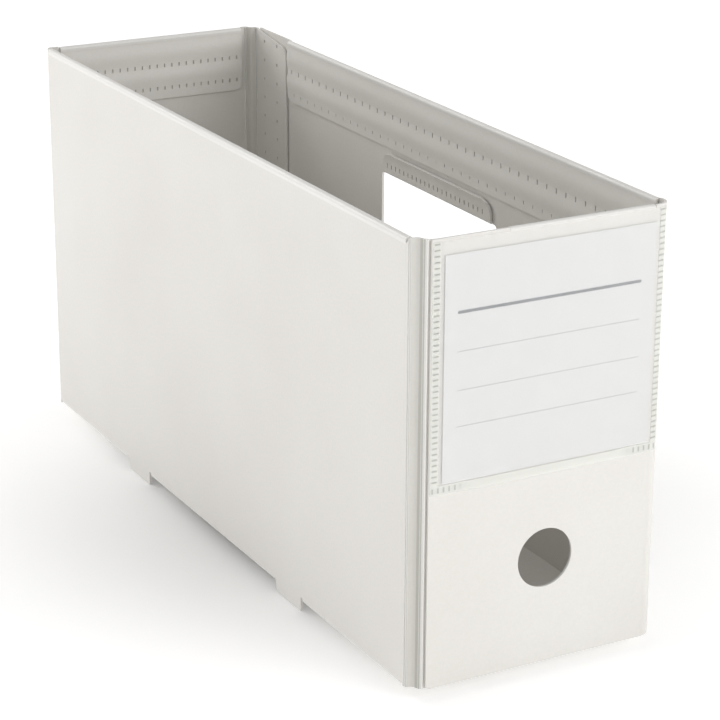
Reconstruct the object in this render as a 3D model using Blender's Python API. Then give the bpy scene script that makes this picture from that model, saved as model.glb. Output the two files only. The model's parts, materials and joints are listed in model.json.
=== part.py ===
"""Folding file holder for A4 documents laid on their long side.

The box is two creased polypropylene sheets, spot-welded into a ring that
folds flat.  Sheet A is the left wall and the back wall, with a narrow
strip and a weld flap at each end.  Sheet B is the front wall and the
right wall, joined by a rounded corner.  The top edges are folded inward
into welded hems.  The bottom plate swings down from the left wall, and a
clear pocket on the front holds a label card that slides out upward.

Units are metres and +Z is up.  The holder stands on four tabs at z = 0,
with its label towards -Y and the origin under its centre.
"""
import math

import bpy
import bmesh
from mathutils import Matrix, Vector

# Overall size
WIDTH = 0.100
WALL_DEPTH = 0.320
WALL_HEIGHT = 0.162
TAB_DROP = 0.004
SHEET = 0.001
GAP = 0.0003

# Label pocket and card, measured outward from the front wall's face
POCKET_RISE = 0.0011
FILM = 0.0002
CARD_THICK = 0.00025
POCKET_HEIGHT = 0.089
POCKET_TOP_DROP = 0.001
POCKET_RAIL = 0.0029
POCKET_FOOT_HEIGHT = 0.0035
POCKET_FOOT_WIDTH = 0.009
POCKET_BEND_ANGLE = math.radians(36)
CARD_WIDTH = 0.083
CARD_HEIGHT = 0.0803

# Faces and levels that follow from the overall size
DEPTH = WALL_DEPTH + POCKET_RISE
FRONT_FACE = POCKET_RISE - DEPTH / 2
BACK_FACE = DEPTH / 2
SIDE_FACE = WIDTH / 2
FLOOR_LEVEL = TAB_DROP
RIM = TAB_DROP + WALL_HEIGHT
LEFT_MID = -SIDE_FACE + SHEET / 2
RIGHT_MID = SIDE_FACE - SHEET / 2
FRONT_MID = FRONT_FACE + SHEET / 2
BACK_MID = BACK_FACE - SHEET / 2

# Two welded layers of sheet lie this far apart, middle to middle
LAYER = SHEET + GAP
# A panel stops this far short of the middle of the crease that it turns on
CREASE_EDGE = SHEET / 2 + GAP

# Corner strips: a crease at each end of a short diagonal
STRIP_RUN = 0.004
# The rounded corner's middle passes through its hinge line at 45 degrees
CORNER_RADIUS = LAYER / (1 - math.cos(math.radians(45)))
CORNER_FACETS = 6

# Hinge lines of the folding ring, as (x, y) in plan
PIVOT_A = Vector((LEFT_MID, FRONT_MID + LAYER + STRIP_RUN))
PIVOT_B = Vector((LEFT_MID + STRIP_RUN, FRONT_MID + LAYER))
PIVOT_FRONT_RIGHT = Vector((RIGHT_MID - LAYER, FRONT_MID + LAYER))
PIVOT_BACK_LEFT = Vector((LEFT_MID, BACK_MID))
PIVOT_C = PIVOT_BACK_LEFT + (PIVOT_FRONT_RIGHT - PIVOT_B)
PIVOT_D = PIVOT_FRONT_RIGHT + (PIVOT_BACK_LEFT - PIVOT_A)

# Sheet B's free edges reach just past the strips' creases
OVERHANG = 0.0011
WELD_FLAP_WIDTH = 0.028
WELD_FLAP_TOP_DROP = 0.002
WELD_FLAP_CORNER = 0.005

# Hems
HEM_DEPTH = 0.028
RIGHT_HEM_DEPTH = 0.0265
HEM_END_GAP = 0.002
HEM_ARC_STEPS = 8
HEM_CROWN = RIM - LAYER / 2 - SHEET / 2

# Bottom plate and the tabs that the walls stand on
PLATE_CLEARANCE = 0.002
PLATE_CORNER_CUT = 0.0045
PLATE_MID = FLOOR_LEVEL + SHEET / 2
TAB_SPANS = ((-0.0762, -0.0551), (0.0618, 0.0835))
TAB_SLOPE = 0.0014
TAB_NOTCH_WIDTH = 0.0016
TAB_NOTCH_HEIGHT = 0.0006
TAB_CORNER = 0.0025
TAB_SLOT_CLEARANCE = 0.0006

# Finger hole in the front wall and grip window in the right wall
FINGER_RADIUS = 0.011
FINGER_CENTRE_X = (PIVOT_B.x + OVERHANG + SIDE_FACE) / 2
FINGER_CENTRE_Z = FLOOR_LEVEL + 0.040
WINDOW_LENGTH = 0.090
WINDOW_CENTRE_Y = -0.003
WINDOW_HEIGHT = 0.030
WINDOW_TOP_DROP = 0.038
WINDOW_CORNER = 0.002
GRIP_FLAP_LENGTH = 0.0845
GRIP_FLAP_HEIGHT = 0.0092
GRIP_FLAP_CORNER = 0.006

CUTTER_MARGIN = 0.002
WELD_DISTANCE = 0.00001

# Colour, roughness and alpha of each material
POLYPROPYLENE = ((0.80, 0.79, 0.76), 0.50, 1.0)
CREASE_PLASTIC = ((0.84, 0.83, 0.80), 0.40, 1.0)
CLEAR_FILM = ((0.93, 0.94, 0.94), 0.12, 0.35)
PAPER = ((0.88, 0.88, 0.87), 0.85, 1.0)

SHAPE_COLLECTION = "file_holder"
CUTTER_COLLECTION = "cutters"


def clear_scene():
    """Remove every object, so that the script starts from nothing."""
    for item in list(bpy.data.objects):
        bpy.data.objects.remove(item, do_unlink=True)


def collection(name):
    """Return a new collection linked to the scene."""
    group = bpy.data.collections.new(name)
    bpy.context.scene.collection.children.link(group)
    return group


def material(name, look):
    """Make a Principled material from a (colour, roughness, alpha) look."""
    colour, roughness, alpha = look
    made = bpy.data.materials.new(name)
    made.use_nodes = True
    shader = made.node_tree.nodes["Principled BSDF"]
    shader.inputs["Base Color"].default_value = (*colour, 1.0)
    shader.inputs["Roughness"].default_value = roughness
    shader.inputs["Metallic"].default_value = 0.0
    shader.inputs["Alpha"].default_value = alpha
    return made


def finish(item, name, look):
    """Give a mesh object its own material."""
    item.data.materials.clear()
    item.data.materials.append(material(name + "_material", look))
    return item


def arc(centre, radius, start, end, steps):
    """Points on a circle from one angle to another, both ends included."""
    points = []
    for step in range(steps + 1):
        angle = start + (end - start) * step / steps
        points.append((centre[0] + radius * math.cos(angle), centre[1] + radius * math.sin(angle)))
    return points


def rounded_corner(before, corner, after, radius, steps=4):
    """Points that replace a corner by a quadratic curve of about the radius."""
    corner = Vector(corner)
    start = corner + (Vector(before) - corner).normalized() * radius
    end = corner + (Vector(after) - corner).normalized() * radius
    points = []
    for step in range(steps + 1):
        t = step / steps
        points.append(tuple(start * (1 - t) ** 2 + corner * 2 * t * (1 - t) + end * t ** 2))
    return points


def frame(origin, across, up):
    """A placement whose local X is across, local Y is up and local Z is their normal."""
    x_axis = Vector(across)
    y_axis = Vector(up)
    z_axis = x_axis.cross(y_axis)
    turn = Matrix((x_axis, y_axis, z_axis)).transposed().to_4x4()
    return Matrix.Translation(Vector(origin)) @ turn


def outline_solid(name, outline, thickness, place, group, holes=()):
    """Extrude a closed flat outline, centred on its plane, into a mesh object."""
    curve = bpy.data.curves.new(name + "_outline", "CURVE")
    curve.dimensions = "2D"
    curve.fill_mode = "BOTH"
    curve.extrude = thickness / 2
    for loop in (outline, *holes):
        spline = curve.splines.new("POLY")
        spline.points.add(len(loop) - 1)
        for point, (u, v) in zip(spline.points, loop):
            point.co = (u, v, 0.0, 1.0)
        spline.use_cyclic_u = True
    drawn = bpy.data.objects.new(name + "_outline", curve)
    bpy.context.scene.collection.objects.link(drawn)
    drawn.matrix_world = place
    bpy.context.view_layer.update()
    seen = drawn.evaluated_get(bpy.context.evaluated_depsgraph_get())
    mesh = bpy.data.meshes.new_from_object(seen)
    mesh.name = name
    shape = bmesh.new()
    shape.from_mesh(mesh)
    bmesh.ops.remove_doubles(shape, verts=shape.verts, dist=WELD_DISTANCE)
    bmesh.ops.recalc_face_normals(shape, faces=shape.faces)
    shape.to_mesh(mesh)
    shape.free()
    item = bpy.data.objects.new(name, mesh)
    group.objects.link(item)
    item.matrix_world = place
    bpy.data.objects.remove(drawn, do_unlink=True)
    return item


def upright(outline, name, bottom, top, group):
    """Extrude a plan outline from one level to another."""
    place = Matrix.Translation((0.0, 0.0, (bottom + top) / 2))
    return outline_solid(name, outline, top - bottom, place, group)


def rectangle(u0, u1, v0, v1):
    """A plain rectangular outline."""
    return [(u0, v0), (u1, v0), (u1, v1), (u0, v1)]


def box(name, low, high, group):
    """A cuboid between two corners."""
    low = Vector(low)
    high = Vector(high)
    bpy.ops.mesh.primitive_cube_add(size=1.0, location=(low + high) / 2)
    item = bpy.context.object
    item.name = name
    item.data.name = name
    item.data.transform(Matrix.Diagonal((*(high - low), 1.0)))
    for home in list(item.users_collection):
        home.objects.unlink(item)
    group.objects.link(item)
    return item


def rod(name, start, end, radius, group, sides=16):
    """A round bar between two points."""
    start = Vector(start)
    run = Vector(end) - start
    bpy.ops.mesh.primitive_cylinder_add(vertices=sides, radius=radius, depth=run.length)
    item = bpy.context.object
    item.name = name
    item.data.name = name
    item.rotation_euler = run.to_track_quat("Z", "Y").to_euler()
    item.location = start + run / 2
    item.data.shade_smooth()
    item.data.set_sharp_from_angle(angle=math.radians(40))
    for home in list(item.users_collection):
        home.objects.unlink(item)
    group.objects.link(item)
    return item


def cut(item, cutter):
    """Subtract a cutter, which stays in its own hidden collection."""
    cutter.display_type = "WIRE"
    cutter.hide_render = True
    boolean = item.modifiers.new("cut_" + cutter.name, "BOOLEAN")
    boolean.operation = "DIFFERENCE"
    boolean.object = cutter
    boolean.solver = "EXACT"


def bottom_edge(start, end, level):
    """A wall's lower edge from its front end to its back end, with both foot tabs."""
    points = [(start, level)]
    for front, back in TAB_SPANS:
        notch = front - TAB_NOTCH_WIDTH
        points.append((notch, level))
        points.append((notch + TAB_NOTCH_WIDTH / 2, level + TAB_NOTCH_HEIGHT))
        points.append((front, level + TAB_NOTCH_HEIGHT))
        points.append((front, 0.0))
        tip_corner = (back - TAB_SLOPE, 0.0)
        points.extend(rounded_corner((front, 0.0), tip_corner, (back, level), TAB_CORNER))
        points.append((back, level))
    points.append((end, level))
    return points


def wall_elevation(start, end, level, hem_start, hem_end):
    """A side wall seen from its side: tabs below, and a lowered rim under the hem's fold."""
    under_hem = HEM_CROWN - GAP
    outline = bottom_edge(start, end, level)
    outline.append((end, RIM))
    outline.append((hem_end + GAP, RIM))
    outline.append((hem_end + GAP, under_hem))
    outline.append((hem_start - GAP, under_hem))
    outline.append((hem_start - GAP, RIM))
    outline.append((start, RIM))
    return outline


def hem(name, start, end, inward, group, depth=HEM_DEPTH):
    """A hem folded inward over a wall's top edge, from one end point to the other.

    start and end lie on the wall's middle plane, and inward points into the box.
    """
    start = Vector((*start, 0.0))
    end = Vector((*end, 0.0))
    fold = (LAYER / 2, HEM_CROWN)
    profile = arc(fold, LAYER / 2 + SHEET / 2, math.pi, 0.0, HEM_ARC_STEPS)
    profile.append((LAYER + SHEET / 2, RIM - depth))
    profile.append((LAYER - SHEET / 2, RIM - depth))
    profile.extend(arc(fold, LAYER / 2 - SHEET / 2, 0.0, math.pi, HEM_ARC_STEPS))
    place = frame((start + end) / 2, (*inward, 0.0), (0.0, 0.0, 1.0))
    made = outline_solid(name, profile, (end - start).length, place, group)
    return finish(made, name, POLYPROPYLENE)


def crease(name, pivot, group):
    """A living hinge: the bead of bent sheet on an upright hinge line."""
    start = (pivot.x, pivot.y, FLOOR_LEVEL)
    end = (pivot.x, pivot.y, RIM)
    return finish(rod(name, start, end, SHEET / 2, group), name, CREASE_PLASTIC)


def left_side(shapes):
    """The left wall, its hem and the two upright creases at its ends."""
    start = PIVOT_A.y + CREASE_EDGE
    end = PIVOT_BACK_LEFT.y - CREASE_EDGE
    hem_start = start + HEM_END_GAP
    hem_end = end - LAYER - SHEET - HEM_END_GAP
    outline = wall_elevation(start, end, PLATE_MID + CREASE_EDGE, hem_start, hem_end)
    place = frame((LEFT_MID, 0.0, 0.0), (0.0, 1.0, 0.0), (0.0, 0.0, 1.0))
    wall = outline_solid("left_panel", outline, SHEET, place, shapes)
    finish(wall, "left_panel", POLYPROPYLENE)
    hem("left_hem", (LEFT_MID, hem_start), (LEFT_MID, hem_end), (1.0, 0.0), shapes)
    crease("front_left_crease", PIVOT_A, shapes)
    crease("back_left_crease", PIVOT_BACK_LEFT, shapes)


def back_side(shapes):
    """The back wall, its hem, and the crease that leads to the back strip."""
    start = PIVOT_BACK_LEFT.x + CREASE_EDGE
    end = PIVOT_C.x - CREASE_EDGE
    hem_start = start + LAYER + SHEET + HEM_END_GAP
    hem_end = end - HEM_END_GAP
    under_hem = HEM_CROWN - GAP
    outline = rectangle(start, end, FLOOR_LEVEL, RIM)[:3]
    outline.append((hem_end + GAP, RIM))
    outline.append((hem_end + GAP, under_hem))
    outline.append((hem_start - GAP, under_hem))
    outline.append((hem_start - GAP, RIM))
    outline.append((start, RIM))
    place = frame((0.0, BACK_MID, 0.0), (1.0, 0.0, 0.0), (0.0, 0.0, 1.0))
    wall = outline_solid("back_panel", outline, SHEET, place, shapes)
    finish(wall, "back_panel", POLYPROPYLENE)
    hem("back_hem", (hem_start, BACK_MID), (hem_end, BACK_MID), (0.0, -1.0), shapes)
    crease("back_strip_crease", PIVOT_C, shapes)


def strip(name, start, end, group):
    """A narrow corner strip between two upright creases."""
    along = (end - start).normalized()
    across = Vector((-along.y, along.x)) * SHEET / 2
    near = start + along * CREASE_EDGE
    far = end - along * CREASE_EDGE
    outline = [tuple(near - across), tuple(far - across), tuple(far + across), tuple(near + across)]
    return finish(upright(outline, name, FLOOR_LEVEL, RIM, group), name, POLYPROPYLENE)


def weld_flap(name, fixed, free, place, group):
    """A sheet's end flap behind the other sheet, from its crease side to its free side."""
    top = RIM - WELD_FLAP_TOP_DROP
    outline = [(fixed, top), (fixed, FLOOR_LEVEL), (free, FLOOR_LEVEL)]
    outline.extend(rounded_corner((free, FLOOR_LEVEL), (free, top), (fixed, top), WELD_FLAP_CORNER))
    return finish(outline_solid(name, outline, SHEET, place, group), name, POLYPROPYLENE)


def corner_centre():
    """Plan centre of the rounded front right corner."""
    return (RIGHT_MID - CORNER_RADIUS, FRONT_MID + CORNER_RADIUS)


def front_side(shapes, cutters):
    """The front wall with its finger hole, its hem, its weld flap and two creases."""
    centre = corner_centre()
    half = SHEET / 2
    start = PIVOT_B.x + OVERHANG
    stop = math.radians(-45) - CREASE_EDGE / CORNER_RADIUS
    down = math.radians(-90)
    outline = [(start, FRONT_MID - half)]
    outline.extend(arc(centre, CORNER_RADIUS + half, down, stop, CORNER_FACETS))
    outline.extend(arc(centre, CORNER_RADIUS - half, stop, down, CORNER_FACETS))
    outline.append((start, FRONT_MID + half))
    wall = upright(outline, "front_panel", FLOOR_LEVEL, RIM, shapes)
    hole_front = (FINGER_CENTRE_X, FRONT_FACE - CUTTER_MARGIN, FINGER_CENTRE_Z)
    hole_back = (FINGER_CENTRE_X, FRONT_FACE + SHEET + CUTTER_MARGIN, FINGER_CENTRE_Z)
    cut(wall, rod("finger_hole_cutter", hole_front, hole_back, FINGER_RADIUS, cutters, sides=48))
    finish(wall, "front_panel", POLYPROPYLENE)

    flap_start = PIVOT_B.x + CREASE_EDGE
    flap_end = flap_start + WELD_FLAP_WIDTH
    inner = frame((0.0, FRONT_MID + LAYER, 0.0), (1.0, 0.0, 0.0), (0.0, 0.0, 1.0))
    weld_flap("front_weld_flap", flap_start, flap_end, inner, shapes)

    hem_start = flap_end + HEM_END_GAP
    hem_end = centre[0] - HEM_END_GAP
    hem("front_hem", (hem_start, FRONT_MID), (hem_end, FRONT_MID), (0.0, 1.0), shapes)
    notch_low = (hem_start - GAP, FRONT_FACE - CUTTER_MARGIN, HEM_CROWN - GAP)
    notch_high = (hem_end + GAP, FRONT_FACE + SHEET + CUTTER_MARGIN, RIM + CUTTER_MARGIN)
    cut(wall, box("front_rim_cutter", notch_low, notch_high, cutters))
    crease("front_flap_crease", PIVOT_B, shapes)
    crease("front_right_crease", PIVOT_FRONT_RIGHT, shapes)


def window_outline():
    """The grip window seen from the side, as (y, z), with rounded corners."""
    front = WINDOW_CENTRE_Y - WINDOW_LENGTH / 2
    back = WINDOW_CENTRE_Y + WINDOW_LENGTH / 2
    top = RIM - WINDOW_TOP_DROP
    corners = rectangle(front, back, top - WINDOW_HEIGHT, top)
    outline = []
    for index, corner in enumerate(corners):
        outline.extend(rounded_corner(corners[index - 1], corner, corners[(index + 1) % 4], WINDOW_CORNER))
    return outline


def right_side(shapes, cutters):
    """The right wall with its grip window, hem, folded grip flap and the back weld flap."""
    centre = corner_centre()
    half = SHEET / 2
    end = PIVOT_D.y - OVERHANG
    start_angle = math.radians(-45) + CREASE_EDGE / CORNER_RADIUS
    outline = arc(centre, CORNER_RADIUS + half, start_angle, 0.0, CORNER_FACETS)
    outline.append((RIGHT_MID + half, end))
    outline.append((RIGHT_MID - half, end))
    outline.extend(arc(centre, CORNER_RADIUS - half, 0.0, start_angle, CORNER_FACETS))
    wall = upright(outline, "right_panel", 0.0, RIM, shapes)

    side = frame((RIGHT_MID, 0.0, 0.0), (0.0, 1.0, 0.0), (0.0, 0.0, 1.0))
    cutter_depth = SHEET + 2 * CUTTER_MARGIN
    cut(wall, outline_solid("grip_window_cutter", window_outline(), cutter_depth, side, cutters))
    below = FRONT_FACE - CUTTER_MARGIN
    beyond = end + CUTTER_MARGIN
    waste = bottom_edge(below, beyond, FLOOR_LEVEL)
    waste = [(y, -CUTTER_MARGIN / 2 if z == 0.0 else z) for y, z in waste]
    waste.append((beyond, -CUTTER_MARGIN))
    waste.append((below, -CUTTER_MARGIN))
    wide_cutter = 4 * CORNER_RADIUS
    cut(wall, outline_solid("right_bottom_cutter", waste, wide_cutter, side, cutters))

    flap_end = PIVOT_D.y - CREASE_EDGE
    flap_start = flap_end - WELD_FLAP_WIDTH
    inner = frame((RIGHT_MID - LAYER, 0.0, 0.0), (0.0, 1.0, 0.0), (0.0, 0.0, 1.0))
    weld_flap("back_weld_flap", flap_end, flap_start, inner, shapes)

    hem_start = centre[1] + HEM_END_GAP
    hem_end = flap_start - HEM_END_GAP
    ends = ((RIGHT_MID, hem_start), (RIGHT_MID, hem_end))
    hem("right_hem", *ends, (-1.0, 0.0), shapes, RIGHT_HEM_DEPTH)
    notch_low = (SIDE_FACE - SHEET - CUTTER_MARGIN, hem_start - GAP, HEM_CROWN - GAP)
    notch_high = (SIDE_FACE + CUTTER_MARGIN, hem_end + GAP, RIM + CUTTER_MARGIN)
    cut(wall, box("right_rim_cutter", notch_low, notch_high, cutters))
    finish(wall, "right_panel", POLYPROPYLENE)

    grip_front = WINDOW_CENTRE_Y - GRIP_FLAP_LENGTH / 2
    grip_back = WINDOW_CENTRE_Y + GRIP_FLAP_LENGTH / 2
    grip_low = RIM - WINDOW_TOP_DROP
    grip_high = grip_low + GRIP_FLAP_HEIGHT
    corners = rectangle(grip_front, grip_back, grip_low, grip_high)
    grip = corners[:2]
    grip.extend(rounded_corner(corners[1], corners[2], corners[3], GRIP_FLAP_CORNER))
    grip.extend(rounded_corner(corners[2], corners[3], corners[0], GRIP_FLAP_CORNER))
    finish(outline_solid("grip_flap", grip, SHEET, inner, shapes), "grip_flap", POLYPROPYLENE)
    crease("back_flap_crease", PIVOT_D, shapes)


def bottom(shapes, cutters):
    """The bottom plate and the crease segments on which it swings down."""
    left = LEFT_MID + CREASE_EDGE
    right = RIGHT_MID - LAYER - SHEET / 2 - GAP
    front = FRONT_MID + LAYER + SHEET / 2 + PLATE_CLEARANCE
    back = BACK_FACE - SHEET - PLATE_CLEARANCE
    cut_size = PLATE_CORNER_CUT
    outline = [(left, front + cut_size), (left + cut_size, front), (right, front)]
    outline.extend([(right, back - cut_size), (right - cut_size, back), (left, back)])
    plate = upright(outline, "bottom_plate", FLOOR_LEVEL, FLOOR_LEVEL + SHEET, shapes)
    reach = LEFT_MID + PLATE_MID + TAB_SLOT_CLEARANCE
    crease_start = front + cut_size
    for number, (tab_front, tab_back) in enumerate(TAB_SPANS, start=1):
        slot_front = tab_front - TAB_NOTCH_WIDTH
        slot_back = tab_back + TAB_SLOT_CLEARANCE
        low = (-SIDE_FACE - CUTTER_MARGIN, slot_front, FLOOR_LEVEL - CUTTER_MARGIN)
        high = (reach, slot_back, FLOOR_LEVEL + SHEET + CUTTER_MARGIN)
        cut(plate, box("tab_slot_cutter_%d" % number, low, high, cutters))
        bottom_crease(number, crease_start, slot_front, shapes)
        crease_start = slot_back
    bottom_crease(len(TAB_SPANS) + 1, crease_start, back, shapes)
    finish(plate, "bottom_plate", POLYPROPYLENE)


def bottom_crease(number, start, end, group):
    """One stretch of the bottom plate's living hinge, between the tabs."""
    name = "bottom_crease_%d" % number
    low = (LEFT_MID, start, PLATE_MID)
    high = (LEFT_MID, end, PLATE_MID)
    return finish(rod(name, low, high, SHEET / 2, group), name, CREASE_PLASTIC)


def pocket_and_card(shapes, cutters):
    """The clear label pocket, open at the top, and the card inside it."""
    centre = corner_centre()
    left = PIVOT_B.x + OVERHANG + GAP
    outer = CORNER_RADIUS + SHEET / 2 + POCKET_RISE
    inner = CORNER_RADIUS + SHEET / 2 + GAP
    down = math.radians(-90)
    stop = down + POCKET_BEND_ANGLE
    outline = [(left, FRONT_FACE - POCKET_RISE)]
    outline.extend(arc(centre, outer, down, stop, CORNER_FACETS))
    outline.extend(arc(centre, inner, stop, down, CORNER_FACETS))
    outline.append((left, FRONT_FACE - GAP))
    top = RIM - POCKET_TOP_DROP
    low = top - POCKET_HEIGHT
    pocket = upright(outline, "label_pocket", low, top, shapes)

    inside_left = left + POCKET_RAIL
    inside_right = centre[0]
    film_back = FRONT_FACE - POCKET_RISE + FILM
    floor = low + POCKET_FOOT_HEIGHT
    card_room_low = (inside_left, film_back, floor)
    card_room_high = (inside_right, FRONT_FACE + CUTTER_MARGIN, top + CUTTER_MARGIN)
    cut(pocket, box("card_room_cutter", card_room_low, card_room_high, cutters))
    slot_low = (inside_left + POCKET_FOOT_WIDTH, film_back, low - CUTTER_MARGIN)
    slot_high = (inside_right - POCKET_FOOT_WIDTH, FRONT_FACE + CUTTER_MARGIN, floor + CUTTER_MARGIN)
    cut(pocket, box("pocket_mouth_cutter", slot_low, slot_high, cutters))
    finish(pocket, "label_pocket", CLEAR_FILM)

    card_middle = (inside_left + inside_right) / 2
    card_back = FRONT_FACE - GAP
    card_low = (card_middle - CARD_WIDTH / 2, card_back - CARD_THICK, floor + GAP)
    card_high = (card_middle + CARD_WIDTH / 2, card_back, floor + GAP + CARD_HEIGHT)
    finish(box("label_card", card_low, card_high, shapes), "label_card", PAPER)


def main():
    """Build the whole holder."""
    clear_scene()
    shapes = collection(SHAPE_COLLECTION)
    cutters = collection(CUTTER_COLLECTION)
    left_side(shapes)
    strip("front_left_strip", PIVOT_A, PIVOT_B, shapes)
    front_side(shapes, cutters)
    right_side(shapes, cutters)
    strip("back_right_strip", PIVOT_C, PIVOT_D, shapes)
    back_side(shapes)
    bottom(shapes, cutters)
    pocket_and_card(shapes, cutters)


main()
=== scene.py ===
"""Detailed visual model of a folding file holder made of welded polypropylene sheet.

Each wall is one creased sheet with its hem, and curved creases join the
walls.  Lengths are in metres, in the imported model's own frame.
"""
import json
import math

import bmesh
import bpy
from mathutils import Matrix, Vector
from mathutils.geometry import tessellate_polygon


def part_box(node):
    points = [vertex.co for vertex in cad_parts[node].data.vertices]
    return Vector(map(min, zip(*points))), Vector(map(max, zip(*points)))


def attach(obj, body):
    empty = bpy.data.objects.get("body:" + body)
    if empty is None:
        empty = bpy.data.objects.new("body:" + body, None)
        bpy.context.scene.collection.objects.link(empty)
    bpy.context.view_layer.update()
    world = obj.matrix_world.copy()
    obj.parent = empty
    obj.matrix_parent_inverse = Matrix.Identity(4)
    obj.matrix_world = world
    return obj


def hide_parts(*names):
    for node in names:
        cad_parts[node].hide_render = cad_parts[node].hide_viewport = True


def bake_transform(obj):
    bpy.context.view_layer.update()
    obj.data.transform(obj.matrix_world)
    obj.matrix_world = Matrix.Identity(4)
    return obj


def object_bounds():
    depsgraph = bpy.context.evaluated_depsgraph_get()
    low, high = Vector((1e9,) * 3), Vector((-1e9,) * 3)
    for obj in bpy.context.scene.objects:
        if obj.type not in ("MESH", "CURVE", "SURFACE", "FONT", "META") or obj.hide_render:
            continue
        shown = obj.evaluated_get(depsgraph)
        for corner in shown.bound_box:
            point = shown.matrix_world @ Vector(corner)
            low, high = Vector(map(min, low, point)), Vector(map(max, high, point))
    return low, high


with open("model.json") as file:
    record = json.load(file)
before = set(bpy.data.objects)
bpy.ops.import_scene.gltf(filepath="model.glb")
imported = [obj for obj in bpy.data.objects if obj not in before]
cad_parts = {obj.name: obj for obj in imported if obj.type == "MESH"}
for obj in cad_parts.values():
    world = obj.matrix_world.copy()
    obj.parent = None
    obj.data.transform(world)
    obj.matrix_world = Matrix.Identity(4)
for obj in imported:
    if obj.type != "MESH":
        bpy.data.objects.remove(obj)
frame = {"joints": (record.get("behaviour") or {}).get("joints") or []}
CAD_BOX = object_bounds()

# ---------------------------------------- sizes from the frame
LEFT_LOW, LEFT_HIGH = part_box("left_panel")
FRONT_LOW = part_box("front_panel")[0]
RIGHT_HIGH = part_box("right_panel")[1]
BACK_LOW, BACK_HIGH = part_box("back_panel")
FRONT_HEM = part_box("front_hem")
RIGHT_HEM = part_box("right_hem")
BACK_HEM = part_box("back_hem")
FRONT_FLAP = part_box("front_weld_flap")
BACK_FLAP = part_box("back_weld_flap")
GRIP_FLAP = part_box("grip_flap")
PLATE_LOW, PLATE_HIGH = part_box("bottom_plate")
POCKET_LOW, POCKET_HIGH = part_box("label_pocket")
CARD_LOW, CARD_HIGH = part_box("label_card")

# The sheet's thickness, the walls' middle surfaces, and the step from a wall to a
# layer folded or welded against it.
SHEET = LEFT_HIGH.x - LEFT_LOW.x
HALF = SHEET / 2
RIM = LEFT_HIGH.z
FLOOR = FRONT_LOW.z
LEFT_MID = LEFT_LOW.x + HALF
RIGHT_MID = RIGHT_HIGH.x - HALF
FRONT_MID = FRONT_LOW.y + HALF
BACK_MID = BACK_HIGH.y - HALF
LAYER = BACK_MID - (BACK_HEM[0].y + HALF)
CROWN = RIM - LAYER / 2 - HALF
HEM_TIP = BACK_HEM[0].z
PLATE_MID = (PLATE_LOW.z + PLATE_HIGH.z) / 2
FLAP_MID = RIGHT_MID - LAYER

# The fold lines of the ring, in plan, and the round front right corner.
JOINTS = {joint["name"]: joint for joint in frame["joints"]}
PIVOT_A = Vector(JOINTS["front_left_fold"]["pos_m"][:2])
PIVOT_B = Vector(JOINTS["front_flap_fold"]["pos_m"][:2])
PIVOT_FR = Vector(JOINTS["front_right_fold"]["pos_m"][:2])
PIVOT_BL = Vector(JOINTS["back_left_fold"]["pos_m"][:2])
PIVOT_C = Vector(JOINTS["back_strip_fold"]["pos_m"][:2])
PIVOT_D = Vector((PIVOT_FR.x, BACK_MID - (PIVOT_FR.x - PIVOT_C.x)))
CREASE_EDGE = LEFT_LOW.y - PIVOT_A.y
CORNER_RADIUS = LAYER / (1 - math.cos(math.radians(45)))
CORNER = Vector((RIGHT_MID - CORNER_RADIUS, FRONT_MID + CORNER_RADIUS))

# ---------------------------------------- fine sizes
# How finely curves are cut.
FOLD_STEPS = 12
BEND_STEPS = 16
CORNER_STEPS = 24
HOLE_STEPS = 72
TIP_STEPS = 5
PILLOW_STEP = 0.0011

# Cut edges, and the angles in degrees above which a shaded edge stays sharp.
EDGE_ROUNDING = 0.00014
STRIP_ROUNDING = EDGE_ROUNDING * 0.7
CARD_ROUNDING = 0.00004
SHEET_ANGLE = 35
BEND_ANGLE = 50
BAR_ANGLE = 30

# Hems: the V cuts at their ends, how far the left wall's ends lie below the rim, how far
# the folds rise and swell, and the bulge between weld rows.
NOTCH = 0.00035
HEM_CORNER = 0.003
HEM_END = 0.0007
OPEN_END = 0.0018
LEFT_RISE = 0.0020
LEFT_SWELL = 0.0008
HEM_RISE = 0.0016
HEM_SWELL = 0.0005
PILLOW = 0.0005

# Foot tabs along Y, each with a small notch in front of it.
TAB_SPANS = ((-0.0762, -0.0551), (0.0618, 0.0835))
TAB_SLOPE = 0.0014
TAB_NOTCH_WIDTH = 0.0016
TAB_NOTCH_HEIGHT = 0.0006
TAB_NOTCH_END = TAB_NOTCH_HEIGHT * 0.7
TAB_FRONT_CORNER = 0.0005
TAB_CORNER = 0.0025
TAB_ROOT_CORNER = 0.0008

# Grip window (front, back, low, high), its flap, the finger hole and the front wall's corner.
WINDOW = (-0.048, 0.042, 0.098, 0.128)
WINDOW_CORNER = 0.002
GRIP_CORNER = 0.006
GRIP_SPRING = 0.0010
FINGER_RADIUS = 0.011
FINGER_CENTRE = ((FRONT_LOW.x + RIGHT_HIGH.x) / 2, FLOOR + 0.040)
FRONT_CORNER = 0.0012

# Weld flaps behind the front wall and the right wall.
FLAP_TOP = RIM - 0.0003
FLAP_CORNER = 0.005
FLAP_FOOT_CORNER = 0.003
FRONT_FLAP_SLOPE = 0.0015
BACK_FLAP_SLOPE = 0.004

# Bottom plate: its cut corners and its room at the walls, flaps and tabs.
PLATE_CUT = 0.0045
PLATE_PLAY = 0.0003
PLATE_SWING = 0.0011
PLATE_CORNER = 0.001
PLATE_ROUND = 0.0035
FLAP_ROOM = 0.0015
FLAP_STEP = 0.001
TAB_ROOM = 0.0006

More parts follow.
